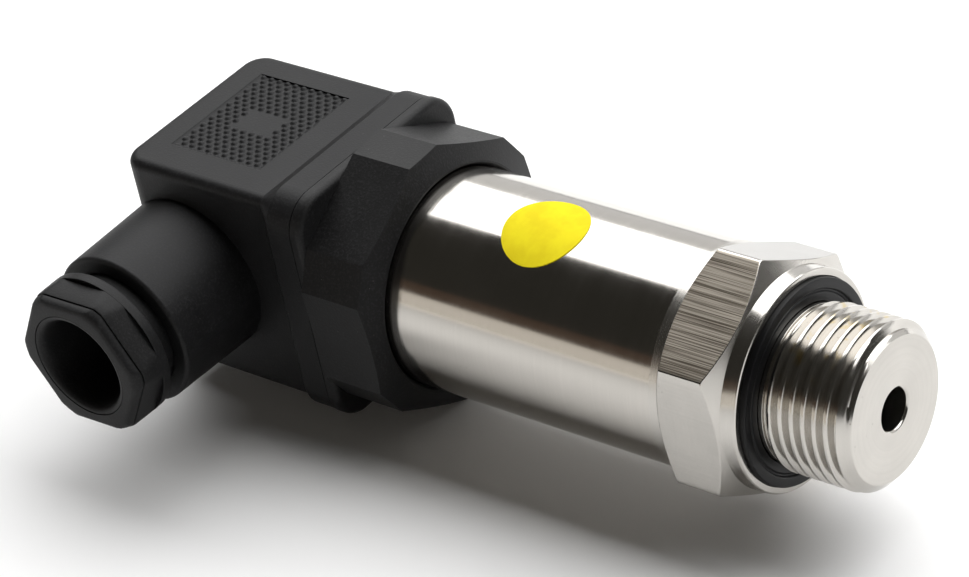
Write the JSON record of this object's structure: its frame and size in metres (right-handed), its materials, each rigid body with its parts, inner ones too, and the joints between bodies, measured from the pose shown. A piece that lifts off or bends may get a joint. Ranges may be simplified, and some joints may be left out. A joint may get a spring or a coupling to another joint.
{
  "type": "pressure sensor",
  "caption": "Screw-in pressure sensor: steel threaded stud with profile seal, spanner hexagon, round tube, and a black angled cable plug with a screwed cable gland.",
  "frame": {"origin": "on the sensor's axis, in the sealing face of the collar", "axes": "+X along the axis out of the threaded stud, -Y out of the cable gland, +Z out of the plug's upper cheek"},
  "size_m": [0.1035, 0.0506, 0.0346],
  "materials": {
    "fitting_steel": "turned stainless steel, satin",
    "tube_steel": "drawn stainless steel, satin",
    "seal_rubber": "smooth black rubber",
    "cell_ceramic": "white fired ceramic",
    "plain_steel": "plain machined steel",
    "gilt_pin": "gilt wire",
    "holder_plastic": "natural moulded plastic",
    "board_laminate": "green solder mask",
    "chip_plastic": "black moulding",
    "capacitor_ceramic": "tan ceramic",
    "absorber_coat": "blue dipped coating",
    "base_plastic": "black glass-filled plastic",
    "plug_plastic": "black glass-filled plastic",
    "nut_plastic": "black glass-filled plastic",
    "insert_plastic": "grey glass-filled plastic",
    "gasket_rubber": "smooth black rubber",
    "tinned_brass": "tinned brass",
    "yellow_brass": "turned brass",
    "zinc_steel": "zinc plated steel",
    "label_film": "yellow printed film"
  },
  "bodies": {
    "sensor": {"process_fitting": "fitting_steel", "seal_ring": "seal_rubber", "cell_seal": "seal_rubber", "sensing_cell": "cell_ceramic", "cell_retainer": "plain_steel", "cell_pins": "gilt_pin", "housing_tube": "tube_steel", "board_holder": "holder_plastic", "main_board": "board_laminate", "amplifier_chip": "chip_plastic", "board_capacitors": "capacitor_ceramic", "surge_absorber": "absorber_coat", "end_board": "board_laminate", "socket_base": "base_plastic", "base_seal": "seal_rubber", "thread_bush": "yellow_brass", "contact_blades": "tinned_brass", "earth_blade": "tinned_brass", "plug_gasket": "gasket_rubber", "plug_housing": "plug_plastic", "terminal_insert": "insert_plastic", "socket_contacts": "tinned_brass", "clamp_screws": "zinc_steel", "centre_screw": "zinc_steel", "screw_seal": "gasket_rubber", "cable_seal": "seal_rubber", "label": "label_film"},
    "gland_washer": {"gland_washer": "zinc_steel"},
    "gland_nut": {"gland_nut": "nut_plastic"}
  },
  "joints": [
    {"name": "gland_washer_slide", "type": "slide", "parent": "sensor", "child": "gland_washer", "axis": [0, 1, 0], "range_m": [-0.00301, 0.00181]},
    {"name": "gland_nut_turn", "type": "hinge", "parent": "gland_washer", "child": "gland_nut", "pos_m": [-0.0809, -0.0268, 0], "axis": [0, 1, 0], "range_deg": [-720, 432]}
  ],
  "couplings": [
    {"joint": "gland_washer_slide", "follows": "gland_nut_turn", "m_per_rad": 0.00023873}
  ]
}
